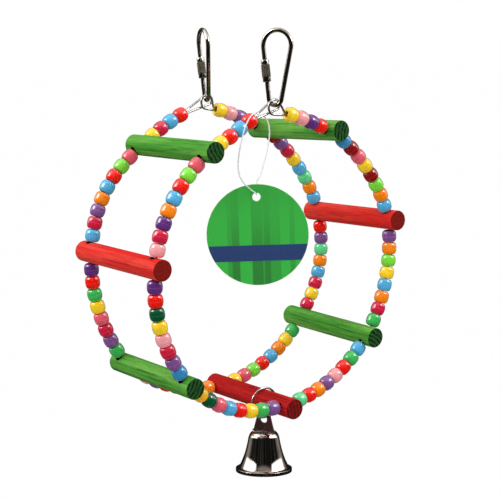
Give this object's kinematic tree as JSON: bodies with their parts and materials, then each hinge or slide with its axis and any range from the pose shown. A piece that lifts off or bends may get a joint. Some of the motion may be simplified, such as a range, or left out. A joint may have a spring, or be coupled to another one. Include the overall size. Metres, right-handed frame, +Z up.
{
  "type": "hanging bird toy",
  "caption": "Round hanging bird toy of dyed wooden perches between beaded wire hoops, with screw links to hang it, a bell on a ring and a plain round tag on a loop.",
  "frame": {"origin": "inside top of the near link's bow, where it hangs", "axes": "+Z up; +Y along the perches, from the near hoop to the far hoop; +X to the right with the near hoop in front"},
  "size_m": [0.1891, 0.0995, 0.282],
  "materials": {
    "nickel_steel": "nickel plate, polished",
    "hoop_wire_steel": "bright wire",
    "wood_green": "dyed, matte",
    "wood_red": "dyed, matte",
    "bell_chrome": "nickel plate, mirror",
    "hanger_steel": "plated sheet",
    "card": "printed card, green",
    "clear_plastic": "thin translucent nylon",
    "bead_red": "opaque moulded, glossy",
    "bead_dark_red": "opaque moulded, glossy",
    "bead_orange": "opaque moulded, glossy",
    "bead_yellow": "opaque moulded, glossy",
    "bead_lime": "opaque moulded, glossy",
    "bead_green": "opaque moulded, glossy",
    "bead_light_blue": "opaque moulded, glossy",
    "bead_blue": "opaque moulded, glossy",
    "bead_purple": "opaque moulded, glossy",
    "bead_magenta": "opaque moulded, glossy",
    "bead_rose": "opaque moulded, glossy",
    "bead_pink": "opaque moulded, glossy"
  },
  "bodies": {
    "near_link": {"near_link": "nickel_steel"},
    "near_nut": {"near_link_nut": "nickel_steel"},
    "wheel": {"near_hoop_wire": "hoop_wire_steel", "far_hoop_wire": "hoop_wire_steel", "perch_1": "wood_green", "perch_2": "wood_red", "perch_3": "wood_green", "perch_4": "wood_red", "perch_5": "wood_green", "perch_6": "wood_red", "perch_7": "wood_green", "near_beads_0": "bead_light_blue", "near_beads_1": "bead_lime", "near_beads_2": "bead_purple", "near_beads_3": "bead_green", "near_beads_4": "bead_orange", "near_beads_5": "bead_magenta", "near_beads_6": "bead_dark_red", "near_beads_7": "bead_pink", "far_beads_0": "bead_red", "far_beads_1": "bead_rose", "far_beads_2": "bead_yellow", "far_beads_3": "bead_red", "far_beads_4": "bead_blue", "far_beads_5": "bead_yellow", "far_beads_6": "bead_blue", "far_beads_7": "bead_yellow"},
    "far_link": {"far_link": "nickel_steel"},
    "far_nut": {"far_link_nut": "nickel_steel"},
    "ring": {"bell_ring": "hoop_wire_steel"},
    "bell": {"bell_cup": "bell_chrome", "bell_hanger": "hanger_steel", "bell_staple": "hoop_wire_steel"},
    "clapper": {"bell_clapper": "bell_chrome"},
    "loop": {"tag_loop": "clear_plastic", "tag_lock": "clear_plastic"},
    "tag": {"tag_card": "card"}
  },
  "joints": [
    {"name": "wheel_swing", "type": "hinge", "parent": "near_link", "child": "wheel", "pos_m": [0, 0, -0.04305], "axis": [0, 1, 0], "range_deg": [-60, 60]},
    {"name": "far_link_swing", "type": "hinge", "parent": "wheel", "child": "far_link", "pos_m": [0, 0.0712, -0.04305], "axis": [0, 1, 0], "range_deg": [-60, 60]},
    {"name": "near_nut_travel", "type": "slide", "parent": "near_link", "child": "near_nut", "axis": [0.0799, -0.1319, -0.988], "range_m": [0, 0.0065]},
    {"name": "far_nut_travel", "type": "slide", "parent": "far_link", "child": "far_nut", "axis": [-0.0399, -0.149, -0.988], "range_m": [0, 0.0065]},
    {"name": "bell_ring_swing", "type": "hinge", "parent": "wheel", "child": "ring", "pos_m": [0.00963, 0.0232, -0.22986], "axis": [0, 1, 0], "range_deg": [-45, 45]},
    {"name": "bell_swing", "type": "hinge", "parent": "ring", "child": "bell", "pos_m": [0.00963, 0.0232, -0.24161], "axis": [1, 0, 0], "range_deg": [-35, 35]},
    {"name": "clapper_swing", "type": "hinge", "parent": "bell", "child": "clapper", "pos_m": [0.00963, 0.0232, -0.25461], "axis": [0.866, 0.5, 0], "range_deg": [-30, 30]},
    {"name": "tag_loop_swing", "type": "hinge", "parent": "wheel", "child": "loop", "pos_m": [-0.0132, 0.00033, -0.05006], "axis": [0, 1, 0], "range_deg": [-4, 14]},
    {"name": "tag_card_swing", "type": "hinge", "parent": "loop", "child": "tag", "pos_m": [-0.0132, 0.00033, -0.09546], "axis": [0.5934, 0.8049, 0], "range_deg": [-25, 25]}
  ],
  "couplings": [
    {"joint": "far_link_swing", "follows": "wheel_swing", "ratio": -1}
  ]
}
